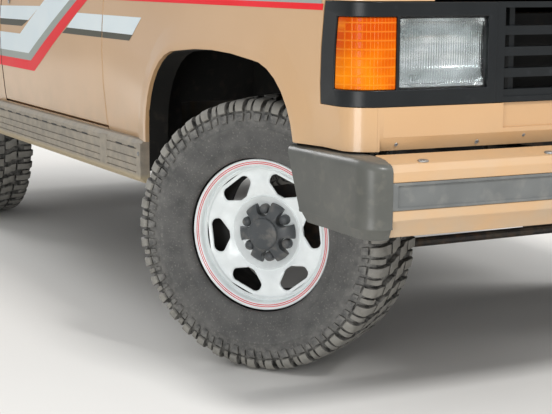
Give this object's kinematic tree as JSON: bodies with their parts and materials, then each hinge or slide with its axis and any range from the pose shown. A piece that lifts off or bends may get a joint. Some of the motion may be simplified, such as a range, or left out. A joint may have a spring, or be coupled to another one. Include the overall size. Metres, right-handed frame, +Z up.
{
  "type": "lifted off-road pickup",
  "caption": "Lifted off-road 4x4 pickup with a single cab, knobbly tyres on slotted rims, flared arches, steel bumper with plastic caps and an open cargo bed.",
  "frame": {"origin": "under the middle of the vehicle's bounding box, on the ground", "axes": "+Y runs from the front bumper to the rear bumper, +X is the vehicle's left side, +Z is up"},
  "size_m": [2.2928, 4.821, 1.8986],
  "materials": {
    "body_paint": "gloss",
    "frame_paint": "satin",
    "silver_paint": "satin",
    "charcoal_plastic": "satin",
    "grey_plastic": "matt",
    "dusty_plastic": "matt",
    "amber_plastic": "gloss",
    "red_plastic": "gloss",
    "lamp_glass": "gloss",
    "window_glass": "gloss",
    "tyre_rubber": "matt",
    "cast_iron": "rough",
    "steel": "satin",
    "seat_cloth": "matt",
    "trim_plastic": "matt"
  },
  "bodies": {
    "chassis": {"frame_rails": "frame_paint", "cab_shell": "body_paint", "front_fenders": "body_paint", "grille": "charcoal_plastic", "headlamp_bezels": "charcoal_plastic", "headlamps": "lamp_glass", "turn_signals": "amber_plastic", "front_valence": "body_paint", "front_bumper": "body_paint", "front_bumper_trim": "grey_plastic", "rear_bumper": "frame_paint", "cab_windows": "window_glass", "cargo_bed": "body_paint", "tail_lamps": "red_plastic", "front_axle": "cast_iron", "rear_axle": "cast_iron", "leaf_springs": "frame_paint", "propshafts": "frame_paint", "engine_and_gearbox": "cast_iron", "fuel_tank": "frame_paint", "exhaust": "steel", "bench_seat": "seat_cloth", "dashboard": "trim_plastic", "steering_wheel": "trim_plastic", "sill_claddings": "dusty_plastic", "engine_bay_panels": "frame_paint"},
    "hood": {"hood": "body_paint"},
    "tailgate": {"tailgate": "body_paint"},
    "door_right": {"door_right": "body_paint", "door_glass_right": "window_glass", "mirror_right": "charcoal_plastic"},
    "door_left": {"door_left": "body_paint", "door_glass_left": "window_glass", "mirror_left": "charcoal_plastic"},
    "knuckle_right": {"knuckle_right": "cast_iron"},
    "knuckle_left": {"knuckle_left": "cast_iron"},
    "tie_rod": {"tie_rod": "steel"},
    "wheel_front_right": {"tyre_front_right": "tyre_rubber", "rim_front_right": "silver_paint"},
    "wheel_front_left": {"tyre_front_left": "tyre_rubber", "rim_front_left": "silver_paint"},
    "wheel_rear_right": {"tyre_rear_right": "tyre_rubber", "rim_rear_right": "silver_paint"},
    "wheel_rear_left": {"tyre_rear_left": "tyre_rubber", "rim_rear_left": "silver_paint"}
  },
  "joints": [
    {"name": "steer_right", "type": "hinge", "parent": "chassis", "child": "knuckle_right", "pos_m": [-0.72, -1.5105, 0.395], "axis": [0, 0, 1], "range_deg": [-72, 1]},
    {"name": "steer_left", "type": "hinge", "parent": "chassis", "child": "knuckle_left", "pos_m": [0.72, -1.5105, 0.395], "axis": [0, 0, 1], "range_deg": [-72, 1]},
    {"name": "tie_rod_pivot", "type": "hinge", "parent": "knuckle_right", "child": "tie_rod", "pos_m": [-0.63396, -1.63337, 0.327], "axis": [0, 0, 1], "range_deg": [-1, 72]},
    {"name": "wheel_spin_front_right", "type": "hinge", "parent": "knuckle_right", "child": "wheel_front_right", "pos_m": [-0.81666, -1.57818, 0.395], "axis": [0.8192, 0.5736, 0], "continuous": true},
    {"name": "wheel_spin_front_left", "type": "hinge", "parent": "knuckle_left", "child": "wheel_front_left", "pos_m": [0.81666, -1.44282, 0.395], "axis": [0.8192, 0.5736, 0], "continuous": true},
    {"name": "wheel_spin_rear_right", "type": "hinge", "parent": "chassis", "child": "wheel_rear_right", "pos_m": [-0.838, 1.4105, 0.395], "axis": [1, 0, 0], "continuous": true},
    {"name": "wheel_spin_rear_left", "type": "hinge", "parent": "chassis", "child": "wheel_rear_left", "pos_m": [0.838, 1.4105, 0.395], "axis": [1, 0, 0], "continuous": true},
    {"name": "hood_hinge", "type": "hinge", "parent": "chassis", "child": "hood", "pos_m": [0, -0.8965, 1.18], "axis": [-1, 0, 0], "range_deg": [0, 50]},
    {"name": "tailgate_hinge", "type": "hinge", "parent": "chassis", "child": "tailgate", "pos_m": [0, 2.3125, 0.764], "axis": [-1, 0, 0], "range_deg": [0, 88]},
    {"name": "door_hinge_right", "type": "hinge", "parent": "chassis", "child": "door_right", "pos_m": [-0.974, -0.5915, 0.9], "axis": [0, 0, 1], "range_deg": [0, 65]},
    {"name": "door_hinge_left", "type": "hinge", "parent": "chassis", "child": "door_left", "pos_m": [0.974, -0.5915, 0.9], "axis": [0, 0, -1], "range_deg": [0, 65]}
  ],
  "couplings": [
    {"joint": "steer_left", "follows": "steer_right", "ratio": 1},
    {"joint": "tie_rod_pivot", "follows": "steer_right", "ratio": -1}
  ]
}
